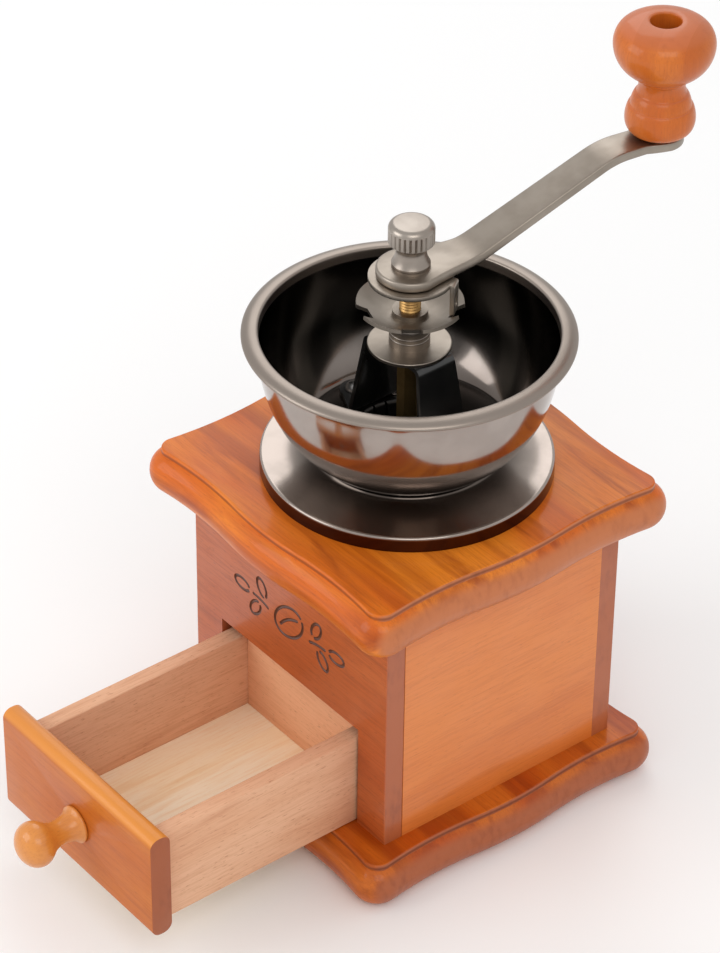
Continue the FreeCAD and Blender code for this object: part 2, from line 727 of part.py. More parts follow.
def bridge():
    sheetMetal, reach = mm("bridgeSheet"), mm("footReach")
    tall = mm("bridgeHeight") - sheetMetal
    shoulder, ankle, narrow, broad, toe = 12.8, 18.0, 7.2, 9.4, 5.1
    path = [(-reach - toe - 1, 0), (-ankle, 0), (-shoulder, tall), (shoulder, tall), (ankle, 0),
            (reach + toe + 1, 0)]
    path = [(x, z + sheetMetal / 2) for x, z in path]
    strip = slab("bridge_strip", "XZ_Plane", stripOutline(path, sheetMetal, 2.4), 2 * broad + 4, -broad - 2)
    wedge = slab("bridge_taper", "YZ_Plane", outline([
        (-broad, -1), (broad, -1), (broad, 2), (narrow, tall), (narrow, tall + 3), (-narrow, tall + 3),
        (-narrow, tall), (-broad, 2)]), 100, -50)
    plan = slab("bridge_plan", "XY_Plane", bridgePlan(reach, toe, ankle, broad), tall + 6, -2)
    blank = combine("Part::MultiCommon", "bridge_blank", [strip, wedge, plan])
    holes = [bar(f"foot_hole{i}", mm("screwRadius") + holePlay, 6, side * reach, 0, -2)
             for i, side in enumerate((-1, 1))]
    holes.append(bar("bush_hole", 5.25, 8, 0, 0, tall - 2))
    bracket = cut("bridge_cut", blank, holes)
    bracket.Placement = FreeCAD.Placement(V(0, 0, hopperFloor), FreeCAD.Rotation())
    keep(bracket, "bridge_bracket")

    plate = mm("plateRadius")
    turned("bridge_plate", [(5.25, 0), (plate, 0), (plate, 0.8), ((plate - 0.1, 1.1), (plate - 0.4, 1.2)),
                            (5.25, 1.2)], f"{floorFormula} + Sizes.bridgeHeight")
    bush, tallBush, neck = mm("bushRadius"), mm("bushHeight"), 5.2
    turned("bearing_bush", [
        (mm("hexBore"), -4.0), (neck, -4.0), (neck, 0), (bush, 0), (bush, 2.4),
        ((bush - 0.35, 2.7), (bush, 3.0)),
        (bush, 4.0), ((bush - 0.35, 4.3), (bush, 4.6)), (bush, 6.4),
        ((bush - 0.5, 7.8), (bush - 1.6, tallBush)),
        (mm("hexBore"), tallBush)], plateTopFormula)

    screw = screwTemplate("bracket_screw_blank", 3.25, 2.2, 28.0)
    level = hopperFloor + sheetMetal
    group("bracket_screws", screw, [FreeCAD.Placement(V(side * reach, 0, level),
                                                      FreeCAD.Rotation(V(0, 0, 1), 45))
                                    for side in (-1, 1)])


def bridgePlan(reach, toe, ankle, broad):
    return outline([(-ankle, -broad), (ankle, -broad), (reach, -toe), ((reach + toe, 0), (reach, toe)),
                    (ankle, broad), (-ankle, broad), (-reach, toe), ((-reach - toe, 0), (-reach, -toe))])


# ---- grind adjustment: a dished star wheel and the plate that locks it ----

def adjuster():
    edge, dish, sheetMetal = mm("wheelRadius"), mm("wheelDish"), mm("wheelSheet")
    bore = mm("threadRadius") + clearance
    wheel = newBody("adjusting_wheel")
    profile = newSketch(wheel, "Profile", "XZ_Plane")
    profile.addGeometry(outline([
        (bore, 0), (5.4, 0), (5.4, 0.8), ((11.4, 2.3), (edge, dish)), (edge - 0.2, dish + sheetMetal),
        ((11.0, 3.5), (5.6, 2.2)), (5.6, 3.6), (bore, 3.6)]), False)
    revolve(wheel, profile)
    notch = newSketch(wheel, "Notch", offset=dish + 3)
    notch.addGeometry(outline([(13.0, -2.8), (edge + 1, -3.6), (edge + 1, 3.6), (13.0, 2.8)]), False)
    cutOne = pocket(wheel, notch, "Sizes.wheelDish + 3")
    around(wheel, cutOne, notch, int(mm("notchCount")))
    turn = FreeCAD.Rotation(V(0, 0, 1), mm("tabAngle"))
    wheel.Placement = FreeCAD.Placement(V(0, 0, bushTop + 0.05), turn)
    keep(wheel, "adjusting_wheel")

    radius, thick = mm("plateRadius"), mm("lockThickness")
    tabOut, tabWide, tabDrop = 14.7, 2.4, 10.4
    plate = newBody("lock_plate")
    disc = newSketch(plate, "Disc")
    disc.addGeometry([circle(0, 0, radius), circle(0, 0, bore)], False)
    pad(plate, disc, "Sizes.lockThickness")
    tab = newSketch(plate, "Tab", "XZ_Plane", -tabWide)
    tab.addGeometry(outline([(radius - 2, 0), (radius - 0.1, 0), (radius - 0.1, -tabDrop + 1),
                             (tabOut - 0.7, -tabDrop),
                             (tabOut, -tabDrop + 1), (tabOut, thick - 1.0), ((tabOut - 0.3, thick - 0.3),
                             (tabOut - 1.0, thick)), (radius - 2, thick)]), False)
    pad(plate, tab, str(2 * tabWide))
    window = newSketch(plate, "Window", "YZ_Plane", tabOut + 1)
    window.addGeometry(outline([(-0.9, -6.4), ((0, -7.2), (0.9, -6.4)), (0.9, -2.6),
                                ((0, -1.8), (-0.9, -2.6))]), False)
    pocket(plate, window, "4")
    plate.Placement = FreeCAD.Placement(V(0, 0, mm("lockHeight")), turn)
    keep(plate, "lock_plate")


# ---- the crank, its nut and its wooden knob ----

def crank():
    reach, lift, thick = mm("crankReach"), mm("crankLift"), mm("armThickness")
    hub, end = mm("hubRadius"), mm("padRadius")
    path = [(-hub - 2, 0), (20.0, 0), (71.0, lift), (reach + end + 2, lift)]
    path = [(x, z + thick / 2) for x, z in path]
    side = slab("arm_side", "XZ_Plane", stripOutline(path, thick, 26.0), 2 * hub + 4, -hub - 2)
    waist, tip = 6.6, 5.8
    plan = slab("arm_plan", "XY_Plane", armPlan(reach, hub, end, waist, tip), lift + thick + 6, -3)
    blank = combine("Part::MultiCommon", "arm_blank", [side, plan])
    holes = [bar("hub_hole", mm("studRadius") + clearance, 3 * thick, 0, 0, -thick),
             bar("pad_hole", mm("pinRadius"), 3 * thick, reach, 0, lift - thick)]
    arm = cut("arm_cut", blank, holes)
    arm.Placement = FreeCAD.Placement(V(0, 0, armBottom), FreeCAD.Rotation(V(0, 0, 1), mm("crankAngle")))
    keep(arm, "crank_arm")

    angle = math.radians(mm("crankAngle"))
    knobX, knobY = reach * math.cos(angle), reach * math.sin(angle)
    knobFormulas = ("Sizes.crankReach * cos(Sizes.crankAngle * 1 deg)",
                    "Sizes.crankReach * sin(Sizes.crankAngle * 1 deg)")
    pin = mm("pinRadius")
    seat = 0.8
    pieces = [
        turned("knob_washer", [(pin + clearance, 0), (6.4, 0), (6.4, 0.6), (pin + clearance, 0.6)],
               padTopFormula),
        turned("knob_pin", [
            (0, -thick - 1.6), (1.0, -thick - 1.6), ((3.4, -thick - 1.1), (4.6, -thick)), (pin, -thick),
            (pin, 27.2 + seat), (4.3, 27.2 + seat), (4.3, 28.2 + seat),
            ((3.2, 29.2 + seat), (1.0, 29.6 + seat)),
            (0, 29.6 + seat)], padTopFormula),
        turned("crank_knob", [
            (pin + clearance, 0), (8.4, 0), ((10.6, 1.3), (11.3, 3.9)), ((11.1, 7.0), (10.3, 9.6)),
            (9.75, 10.0),
            ((9.3, 12.2), (8.3, 13.8)), (7.85, 14.1), ((7.35, 16.6), (7.7, 18.9)), (8.3, 19.2), (8.3, 19.9),
            ((13.9, 24.0), (16.2, 29.6)), ((16.0, 34.4), (12.4, 37.7)),
            ((9.3, 38.8), (5.6, mm("knobHeight"))),
            ((5.1, 38.95), (4.9, 38.4)), (4.9, 27.0), (pin + clearance, 27.0)], f"{padTopFormula} + {seat}"),
    ]
    for piece in pieces:
        piece.setExpression("Placement.Base.x", knobFormulas[0])
        piece.setExpression("Placement.Base.y", knobFormulas[1])

    turned("nut_washer", [(mm("studRadius") + clearance, 0), (6.1, 0), (6.1, 0.6),
                          (mm("studRadius") + clearance, 0.6)],
           f"{armFormula} + Sizes.armThickness")
    grip, tall = mm("nutRadius"), mm("nutHeight")
    nut = turned("thumb_nut", [
        (mm("studRadius") + clearance, 0), (5.9, 0), (6.1, 0.3), (6.1, 0.9), ((5.2, 2.8), (4.8, 5.0)),
        ((5.3, 6.9), (6.6, 7.9)), (grip, 8.4), (grip, tall - 2.0),
        ((grip - 0.7, tall - 0.75), (grip - 2.3, tall - 0.2)),
        (2.0, tall), (0, tall), (0, 12.2), (mm("studRadius") + clearance, 11.6)],
        f"{armFormula} + Sizes.armThickness + 0.6")
    flute = newSketch(nut, "Knurl", offset=tall - 2.2)
    flute.addGeometry(outline([(grip - 0.55, 0), (grip + 0.4, -0.75), (grip + 0.4, 0.75)]), False)
    cutOne = pocket(nut, flute, "6.2")
    around(nut, cutOne, flute, 26)
    keep(nut, "thumb_nut")


def armPlan(reach, hub, end, waist, tip):
    # The arm from above: a round hub, a tapering middle and a round pad.
    return outline([
        (20.0, -waist), (reach - end, -tip), ((reach - 4, -end + 0.9), (reach, -end)),
                    ((reach + end, 0), (reach, end)),
        ((reach - 4, end - 0.9), (reach - end, tip)), (20.0, waist), ((10.5, 8.2), (0, hub)),
                    ((-hub, 0), (0, -hub)),
        ((10.5, -8.2), (20.0, -waist))])


boards()
case()
caseScrews()
drawer()
hopper()
burr()
spindle()
bridge()
adjuster()
crank()
doc.recompute()

for item in doc.Objects:
    if "Invalid" in item.State or "Error" in item.State:
        raise RuntimeError(f"{item.Name} failed: {item.State}")
os.makedirs("parts", exist_ok=True)
for label, piece in kept.items():
    shape = piece.Shape
    if shape.isNull() or not shape.isValid():
        raise RuntimeError(f"{label} has no valid shape")
    shape.exportStep(f"parts/{label}.step")
    extent = shape.BoundBox
    print(f"{label:22s} solids {len(shape.Solids)} volume {shape.Volume / 1000:8.2f} cm3"
          f"  z {extent.ZMin:7.2f} {extent.ZMax:7.2f}")
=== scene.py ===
import bpy
import json
import math
from mathutils import Matrix, Vector

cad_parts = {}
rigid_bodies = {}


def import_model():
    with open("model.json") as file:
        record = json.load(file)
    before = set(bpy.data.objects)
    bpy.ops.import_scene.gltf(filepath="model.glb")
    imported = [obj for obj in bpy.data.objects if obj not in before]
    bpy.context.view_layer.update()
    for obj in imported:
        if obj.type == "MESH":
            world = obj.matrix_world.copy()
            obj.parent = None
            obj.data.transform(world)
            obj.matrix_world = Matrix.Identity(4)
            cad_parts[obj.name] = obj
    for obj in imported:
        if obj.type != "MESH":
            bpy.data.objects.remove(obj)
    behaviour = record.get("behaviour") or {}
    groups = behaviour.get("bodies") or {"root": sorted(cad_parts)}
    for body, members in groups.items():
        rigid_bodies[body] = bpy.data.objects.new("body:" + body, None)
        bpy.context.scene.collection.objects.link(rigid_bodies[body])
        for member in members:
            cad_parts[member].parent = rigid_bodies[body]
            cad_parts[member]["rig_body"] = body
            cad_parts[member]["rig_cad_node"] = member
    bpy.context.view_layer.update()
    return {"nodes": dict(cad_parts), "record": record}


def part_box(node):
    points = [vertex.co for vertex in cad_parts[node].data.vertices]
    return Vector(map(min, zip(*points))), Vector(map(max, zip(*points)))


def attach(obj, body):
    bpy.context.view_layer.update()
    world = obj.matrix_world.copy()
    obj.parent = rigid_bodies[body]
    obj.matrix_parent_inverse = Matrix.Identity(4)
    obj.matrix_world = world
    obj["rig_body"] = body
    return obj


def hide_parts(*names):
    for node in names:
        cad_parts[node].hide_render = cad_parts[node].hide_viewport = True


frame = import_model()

cadNodes = frame["nodes"]
mm = 0.001
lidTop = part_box("top_board")[1].z
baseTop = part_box("base_board")[1].z
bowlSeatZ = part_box("hopper_bowl")[0].z
print("frame loaded,", len(cadNodes), "CAD nodes")


def colour(red, green, blue):
    # a colour given on a 0-255 scale, as the shader wants it
    def linear(value):
        value /= 255
        return value / 12.92 if value <= 0.04045 else ((value + 0.055) / 1.055) ** 2.4
    return (linear(red), linear(green), linear(blue), 1.0)


def addNode(tree, kind, links=None, values=None, **settings):
    made = tree.nodes.new(kind)
    for key, value in settings.items():
        setattr(made, key, value)
    for key, value in (values or {}).items():
        made.inputs[key].default_value = value
    for key, socket in (links or {}).items():
        tree.links.new(socket, made.inputs[key])
    return made


def newMaterial(name, settings):
    material = bpy.data.materials.new(name)
    material.use_nodes = True
    shader = material.node_tree.nodes["Principled BSDF"]
    for key, value in settings.items():
        shader.inputs[key].default_value = value
    return material, material.node_tree, shader


def noiseAt(tree, scale, offset=(0, 0, 0), detail=3.0, roughness=0.5, distortion=0.0):
    # noise whose grain size differs by direction; scale is in waves per metre
    place = addNode(tree, "ShaderNodeTexCoord")
    mapping = addNode(tree, "ShaderNodeMapping", {"Vector": place.outputs["Object"]},
                      {"Scale": scale, "Location": offset})
    return addNode(tree, "ShaderNodeTexNoise", {"Vector": mapping.outputs["Vector"]},
                   {"Scale": 1.0, "Detail": detail, "Roughness": roughness,
                    "Distortion": distortion}).outputs["Fac"]


def rampOf(tree, socket, low, high):
    # 0 below low, 1 above high, smooth between
    return addNode(tree, "ShaderNodeMapRange", {"Value": socket},
                   {"From Min": low, "From Max": high}, interpolation_type="SMOOTHSTEP").outputs["Result"]


def sums(tree, operation, first, second):
    made = addNode(tree, "ShaderNodeMath", operation=operation)
    for place, value in enumerate((first, second)):
        if isinstance(value, (int, float)):
            made.inputs[place].default_value = value
        else:
            tree.links.new(value, made.inputs[place])
    return made.outputs[0]


def mixOf(tree, factor, first, second, blend="MIX"):
    made = addNode(tree, "ShaderNodeMix", data_type="RGBA", blend_type=blend)
    for key, value in ((0, factor), (6, first), (7, second)):
        if isinstance(value, bpy.types.NodeSocket):
            tree.links.new(value, made.inputs[key])
        else:
            made.inputs[key].default_value = value
    return made.outputs[2]


def placeOf(tree, output="Object"):
    place = addNode(tree, "ShaderNodeTexCoord")
    parts = addNode(tree, "ShaderNodeSeparateXYZ", {"Vector": place.outputs[output]})
    return parts.outputs["X"], parts.outputs["Y"], parts.outputs["Z"]


def facing(tree, axis, low=0.55, high=0.9):
    # how far the surface looks along an axis, either way
    value = placeOf(tree, "Normal")["XYZ".index(axis)]
    return rampOf(tree, sums(tree, "ABSOLUTE", value, 0.0), low, high)


def alongGrain(axis, across, along):
    return tuple(along if name == axis else across for name in "XYZ")


def woodMaterial(name, look):
    material, tree, shader = newMaterial(name, {
        "Coat Weight": look.get("lacquer", 0.0), "Coat Roughness": look.get("lacquerRoughness", 0.1),
        "Specular IOR Level": look.get("specular", 0.4)})
    grain = look["grain"]
    seed = look.get("seed", 0.0)
    offset = (seed, seed * 1.7, -seed)
    broad = noiseAt(tree, alongGrain(grain, look.get("broad", 46), 7), offset, 3.0, 0.5, 0.6)
    streak = noiseAt(tree, alongGrain(grain, look.get("streak", 190), 14), offset, 5.0, 0.62, 0.35)
    fine = noiseAt(tree, alongGrain(grain, 1500, 70), offset, 4.0, 0.6)
    pores = noiseAt(tree, alongGrain(grain, 2600, 330), offset, 2.0, 0.5)
    base = mixOf(tree, rampOf(tree, broad, 0.36, 0.64), look["light"], look["middle"])
    base = mixOf(tree, sums(tree, "MULTIPLY", rampOf(tree, streak, look.get("streakFrom", 0.54), 0.74),
                            look.get("streakAmount", 0.7)), base, look["dark"])
    if "bandAmount" in look:
        # bold dark bands that run the length of the board
        bands = noiseAt(tree, alongGrain(grain, 88, 3.2), offset, 2.0, 0.45, 1.1)
        base = mixOf(tree, sums(tree, "MULTIPLY", rampOf(tree, bands, 0.5, 0.66), look["bandAmount"]),
                     base, look["band"])
    fineDark = sums(tree, "MULTIPLY", rampOf(tree, fine, 0.42, 0.68), look.get("fineAmount", 0.25))
    base = mixOf(tree, fineDark, base, look["dark"])
    poreMask = sums(tree, "MULTIPLY", rampOf(tree, pores, 0.62, 0.72), look.get("poreAmount", 0.35))
    base = mixOf(tree, poreMask, base, look["pore"])
    if "endGrain" in look:
        # the ends of the boards soak up more stain, and show the pores as dots
        endPores = noiseAt(tree, (420, 420, 200), offset, 3.0, 0.5)
        endDark = sums(tree, "MULTIPLY", rampOf(tree, endPores, 0.38, 0.8), 0.5)
        endColour = mixOf(tree, endDark, look["endGrain"], look["endPore"])
        endColour = mixOf(tree, rampOf(tree, broad, 0.35, 0.65), endColour, look["endGrain"])
        base = mixOf(tree, facing(tree, grain), base, endColour)
    for edit in look.get("edits", ()):
        base = edit(tree, base)
    tree.links.new(base, shader.inputs["Base Color"])
    patch = rampOf(tree, noiseAt(tree, (60, 60, 60), offset, 3.0), 0.3, 0.7)
    spread = addNode(tree, "ShaderNodeMapRange", {"Value": sums(tree, "ADD", patch, fineDark)},
                     {"To Min": look["roughness"] - 0.05, "To Max": look["roughness"] + 0.08})
    tree.links.new(spread.outputs["Result"], shader.inputs["Roughness"])
    height = sums(tree, "ADD", sums(tree, "MULTIPLY", fine, 0.6), sums(tree, "MULTIPLY", poreMask, -1.2))
    bump = addNode(tree, "ShaderNodeBump", {"Height": height},
                   {"Strength": look.get("bump", 0.12), "Distance": 0.0002})
    tree.links.new(bump.outputs["Normal"], shader.inputs["Normal"])
    return material


def paintedShadeUnder(level, shade):
    # painted shade: the lower board is painted a shade darker than the lid, which shares its stain, standing
    # in for the shade it sits in below the drawer
    def edit(tree, base):
        low = sums(tree, "LESS_THAN", placeOf(tree)[2], level)
        return mixOf(tree, low, base, mixOf(tree, 1.0, base, shade, "MULTIPLY"))
    return edit


def paintedQuirkShade(tree, base):
    # painted shade: a dark line is painted in the step above each bead, standing in for the shade in the
    # quirk
    height = placeOf(tree)[2]
    for level in (baseTop - 1.4 * mm, lidTop - 1.4 * mm):
        gap = sums(tree, "ABSOLUTE", sums(tree, "SUBTRACT", height, level), 0.0)
        near = sums(tree, "SUBTRACT", 1.0, rampOf(tree, gap, 0.1 * mm, 0.9 * mm))
        line = sums(tree, "MULTIPLY", near, 0.62)
        line = sums(tree, "MULTIPLY", line, sums(tree, "SUBTRACT", 1.0, facing(tree, "Z", 0.9, 0.99)))
        base = mixOf(tree, line, base, colour(92, 36, 10))
    return base


def burntOrnament(tree, base):
    # the engraving is burnt dark below the front face
    field = {"halfWidth": 32 * mm, "bottom": 61.5 * mm, "top": 95.5 * mm,
             "skin": 0.05 * mm, "depth": 0.9 * mm}
    across, depth, height = placeOf(tree)
    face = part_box("front_panel")[0].y
    inside = sums(tree, "GREATER_THAN", depth, face + field["skin"])
    shallow = sums(tree, "LESS_THAN", depth, face + field["depth"])
    middle = sums(tree, "LESS_THAN", sums(tree, "ABSOLUTE", across, 0.0), field["halfWidth"])
    above = sums(tree, "GREATER_THAN", height, field["bottom"])
    below = sums(tree, "LESS_THAN", height, field["top"])
    mask = sums(tree, "MULTIPLY", sums(tree, "MULTIPLY", inside, shallow),
                sums(tree, "MULTIPLY", middle, sums(tree, "MULTIPLY", above, below)))
    return mixOf(tree, mask, base, colour(84, 38, 18))


def paintedLitTop(tree, base):
    # painted light: the upward-facing rounded edges of the drawer front are painted a lighter honey tone,
    # standing in for the light falling on its top
    _, _, up = placeOf(tree, "Normal")
    return mixOf(tree, rampOf(tree, up, 0.15, 0.6), base, mixOf(tree, 0.75, base, colour(226, 146, 62)))


def staves(width, tone):
    # the knob is turned from a glued-up block, so its staves differ a little
    def edit(tree, base):
        across, along, _ = placeOf(tree)
        lean = sums(tree, "ADD", sums(tree, "MULTIPLY", across, 0.86), sums(tree, "MULTIPLY", along, 0.5))
        step = sums(tree, "FLOOR", sums(tree, "DIVIDE", lean, width), 0.0)
        odd = sums(tree, "MULTIPLY", sums(tree, "FRACT", sums(tree, "MULTIPLY", step, 0.618), 0.0), 0.55)
        return mixOf(tree, odd, base, tone)
    return edit


stains = {
    "board_wood": {
        "grain": "X", "seed": 0.31, "broad": 40, "streak": 105, "streakFrom": 0.5, "streakAmount": 0.85,
        "light": colour(228, 130, 34), "middle": colour(208, 98, 10), "dark": colour(150, 60, 4),
        "pore": colour(122, 48, 10), "fineAmount": 0.22, "poreAmount": 0.25,
        "bandAmount": 0.42, "band": colour(146, 56, 4), "specular": 0.22,
        "endGrain": colour(190, 112, 68), "endPore": colour(144, 76, 42),
        "lacquer": 0.28, "lacquerRoughness": 0.1, "roughness": 0.46, "bump": 0.06,
        "edits": [paintedQuirkShade, paintedShadeUnder(0.02, (0.74, 0.62, 0.6, 1.0))]},
    "front_wood": {
        "grain": "X", "seed": 1.7, "broad": 30, "streak": 260,
        "light": colour(184, 92, 40), "middle": colour(170, 77, 25), "dark": colour(126, 52, 18),
        "pore": colour(104, 42, 20), "fineAmount": 0.32, "poreAmount": 0.6,
        "endGrain": colour(170, 90, 50), "endPore": colour(126, 60, 34),
        "lacquer": 0.45, "lacquerRoughness": 0.16, "roughness": 0.42, "bump": 0.1, "edits": [burntOrnament]},
    "side_wood": {
        "grain": "Y", "seed": 4.2, "broad": 26, "streak": 150, "streakAmount": 0.3,
        "light": colour(220, 128, 58), "middle": colour(210, 114, 44), "dark": colour(178, 88, 32),
        "pore": colour(158, 78, 30), "fineAmount": 0.25, "poreAmount": 0.3,
        "lacquer": 0.45, "lacquerRoughness": 0.14, "roughness": 0.42, "bump": 0.08},
    "drawer_wood": {
        "grain": "Y", "seed": 2.6, "broad": 34, "streak": 210, "streakAmount": 0.35,
        "light": colour(226, 178, 144), "middle": colour(216, 162, 126), "dark": colour(184, 120, 84),
        "pore": colour(168, 108, 76), "fineAmount": 0.3, "poreAmount": 0.55,
        "endGrain": colour(208, 150, 112), "endPore": colour(176, 116, 82),
        "roughness": 0.62, "bump": 0.25, "specular": 0.25},
    # painted light: a lighter copy of drawer_wood, standing in for the light falling into the drawer onto its
    # back
    "drawer_back_lit_wood": {
        "grain": "X", "seed": 5.4, "broad": 34, "streak": 210, "streakAmount": 0.35,
        "light": colour(240, 190, 150), "middle": colour(234, 178, 138), "dark": colour(204, 138, 98),
        "pore": colour(164, 104, 74), "fineAmount": 0.3, "poreAmount": 0.55,
        "roughness": 0.62, "bump": 0.25, "specular": 0.25},
    "drawer_floor_wood": {
        "grain": "Y", "seed": 3.3, "broad": 60, "streak": 270, "streakFrom": 0.48, "streakAmount": 0.6,
        "light": colour(255, 244, 218), "middle": colour(255, 236, 200), "dark": colour(240, 200, 144),
        "pore": colour(226, 184, 130), "fineAmount": 0.3, "poreAmount": 0.25,
        "roughness": 0.6, "bump": 0.2, "specular": 0.25},
    "drawer_front_wood": {
        "grain": "X", "seed": 6.1, "broad": 30, "streak": 200, "streakAmount": 0.35,
        "light": colour(200, 114, 36), "middle": colour(188, 98, 26), "dark": colour(152, 72, 20),
        "pore": colour(134, 64, 26), "fineAmount": 0.25, "poreAmount": 0.3,
        "endGrain": colour(158, 84, 48), "endPore": colour(118, 58, 32),
        "lacquer": 0.3, "lacquerRoughness": 0.14, "roughness": 0.44, "bump": 0.08, "specular": 0.25,
        "edits": [paintedLitTop]},
    "knob_wood": {
        "grain": "Z", "seed": 7.7, "broad": 60, "streak": 240, "streakAmount": 0.35,
        "light": colour(208, 112, 32), "middle": colour(195, 95, 20), "dark": colour(162, 74, 16),
        "pore": colour(150, 70, 28), "fineAmount": 0.28, "poreAmount": 0.35,
        "endGrain": colour(196, 106, 60), "endPore": colour(158, 80, 44),
        "lacquer": 0.35, "lacquerRoughness": 0.1, "roughness": 0.42, "bump": 0.07, "specular": 0.28,
        "edits": [staves(0.0082, colour(180, 90, 30))]},
    "drawer_knob_wood": {
        "grain": "Y", "seed": 8.8, "broad": 60, "streak": 240, "streakAmount": 0.25,
        "light": colour(216, 138, 56), "middle": colour(206, 122, 42), "dark": colour(176, 94, 32),
        "pore": colour(160, 84, 32), "fineAmount": 0.22, "poreAmount": 0.3,
        "lacquer": 0.65, "lacquerRoughness": 0.12, "roughness": 0.4, "bump": 0.07},
}
woods = {name: woodMaterial(name, look) for name, look in stains.items()}
print("wood stains made")


def metalMaterial(name, look):
    material, tree, shader = newMaterial(name, {"Metallic": look.get("metallic", 1.0),
                                                "Coat Weight": look.get("coat", 0.0),
                                                "Coat Roughness": 0.12})
    cloud = noiseAt(tree, (90, 90, 90), (look.get("seed", 0.0),) * 3, 3.0)
    base = mixOf(tree, rampOf(tree, cloud, 0.35, 0.65), look["base"], look["tone"])
    for edit in look.get("edits", ()):
        base = edit(tree, base)
    scratch = noiseAt(tree, look.get("brush", (1800, 1800, 260)), (look.get("seed", 0.0),) * 3, 4.0, 0.65)
    tree.links.new(base, shader.inputs["Base Color"])
    wear = sums(tree, "ADD", sums(tree, "MULTIPLY", cloud, 0.6), sums(tree, "MULTIPLY", scratch, 0.4))
    smear = addNode(tree, "ShaderNodeMapRange", {"Value": wear},
                    {"From Min": 0.25, "From Max": 0.75, "To Min": look["roughness"] * 0.8,
                     "To Max": look["roughness"] * 1.25})
    shine = smear.outputs["Result"]
    if "dullAbove" in look:
        # the rolled rim is satin, while the wall below it is polished
        level = look["dullAbove"]
        above = rampOf(tree, placeOf(tree)[2], level, level + mm)
        shine = sums(tree, "ADD", shine, sums(tree, "MULTIPLY", above, 0.24))
    tree.links.new(shine, shader.inputs["Roughness"])
    bump = addNode(tree, "ShaderNodeBump", {"Height": scratch},
                   {"Strength": look.get("bump", 0.03), "Distance": 0.0001})
    tree.links.new(bump.outputs["Normal"], shader.inputs["Normal"])
    return material


def darkInside(tree, base):
    # painted darkness up the inner wall, standing in for the dark room the plating mirrors
    across, along, height = placeOf(tree)
    lookX, lookY, _ = placeOf(tree, "Normal")
    outward = sums(tree, "ADD", sums(tree, "MULTIPLY", across, lookX), sums(tree, "MULTIPLY", along, lookY))
    inner = sums(tree, "LESS_THAN", outward, 0.0)
    floorZ = lidTop + 12.8 * mm
    fadeTop, wallTop = floorZ + 17 * mm, floorZ + 38.9 * mm
    mask = sums(tree, "MULTIPLY", inner, rampOf(tree, height, floorZ - 1 * mm, fadeTop))
    mask = sums(tree, "MULTIPLY", mask, sums(tree, "LESS_THAN", height, wallTop))
    return mixOf(tree, sums(tree, "MULTIPLY", mask, 0.96), base, colour(40, 41, 39))


def satinRim(tree, base):
    # the rolled rim has a browner, duller face than the wall below it
    height = placeOf(tree)[2]
    rimZ = bowlSeatZ + 39.2 * mm
    return mixOf(tree, rampOf(tree, height, rimZ, rimZ + 0.8 * mm), base, colour(150, 139, 130))


def paintedMirrorDark(near, far, kind):
    # painted reflection: darkness painted where the bowl and its skirt mirror each other
    def edit(tree, base):
        across, along, height = placeOf(tree)
        reach = height
        if kind == "ROUND":
            reach = sums(tree, "SQRT", sums(tree, "ADD", sums(tree, "MULTIPLY", across, across),
                                            sums(tree, "MULTIPLY", along, along)), 0.0)
        bright = rampOf(tree, reach, near, far)
        return mixOf(tree, bright, mixOf(tree, 0.8, base, colour(58, 50, 44)), base)
    return edit


def darkLip(tree, base):
    # painted darkness on the upright lip of the flange
    height = placeOf(tree)[2]
    lipTop = lidTop + 4.6 * mm
    above = rampOf(tree, height, lipTop - 0.6 * mm, lipTop + 0.5 * mm)
    return mixOf(tree, sums(tree, "SUBTRACT", 1.0, above), base, colour(74, 50, 36))


def goldThread(tree, base):
    # the turned upper part is an even gold, brighter than the mottled hexagon below
    height = placeOf(tree)[2]
    hexTop, threadFoot = 170 * mm, 176 * mm
    return mixOf(tree, rampOf(tree, height, hexTop, threadFoot), base, colour(184, 146, 92))


finishes = {
    "hopper_metal": {"base": colour(168, 157, 150), "tone": colour(160, 149, 142), "roughness": 0.12,
                     "seed": 0.4, "brush": (700, 700, 700), "bump": 0.015, "dullAbove": bowlSeatZ + 39.0 * mm,
                     "edits": [paintedMirrorDark(bowlSeatZ + 1.5 * mm, bowlSeatZ + 14 * mm, "HEIGHT"),
                               darkInside, satinRim]},
    "flange_metal": {"base": colour(170, 158, 150), "tone": colour(160, 149, 141), "roughness": 0.16,
                     "seed": 1.4, "brush": (900, 900, 900), "bump": 0.03,
                     "edits": [paintedMirrorDark(30.0 * mm, 40.5 * mm, "ROUND"), darkLip]},
    "bright_metal": {"base": colour(158, 148, 137), "tone": colour(146, 136, 125), "roughness": 0.36,
                     "seed": 2.4, "brush": (900, 180, 700), "bump": 0.03},
    "turned_metal": {"base": colour(166, 157, 148), "tone": colour(154, 144, 135), "roughness": 0.32,
                     "seed": 3.4, "brush": (220, 220, 2400), "bump": 0.06},
    "bridge_metal": {"base": colour(24, 24, 23), "tone": colour(17, 17, 17), "roughness": 0.3, "seed": 4.4,
                     "metallic": 0.0, "coat": 0.7, "brush": (500, 500, 500), "bump": 0.12},
    "brass": {"base": colour(178, 150, 98), "tone": colour(156, 128, 80), "roughness": 0.42, "seed": 5.4,
              "brush": (1600, 1600, 200), "bump": 0.08, "edits": [goldThread]},
    "burr_iron": {"base": colour(92, 90, 88), "tone": colour(72, 70, 68), "roughness": 0.42, "seed": 6.4,
                  "brush": (1200, 1200, 1200), "bump": 0.2},
    "fastener_steel": {"base": colour(150, 148, 146), "tone": colour(128, 126, 124), "roughness": 0.33,
                       "seed": 7.4, "brush": (1500, 1500, 1500), "bump": 0.1},
}
metals = {name: metalMaterial(name, look) for name, look in finishes.items()}
print("metal finishes made")


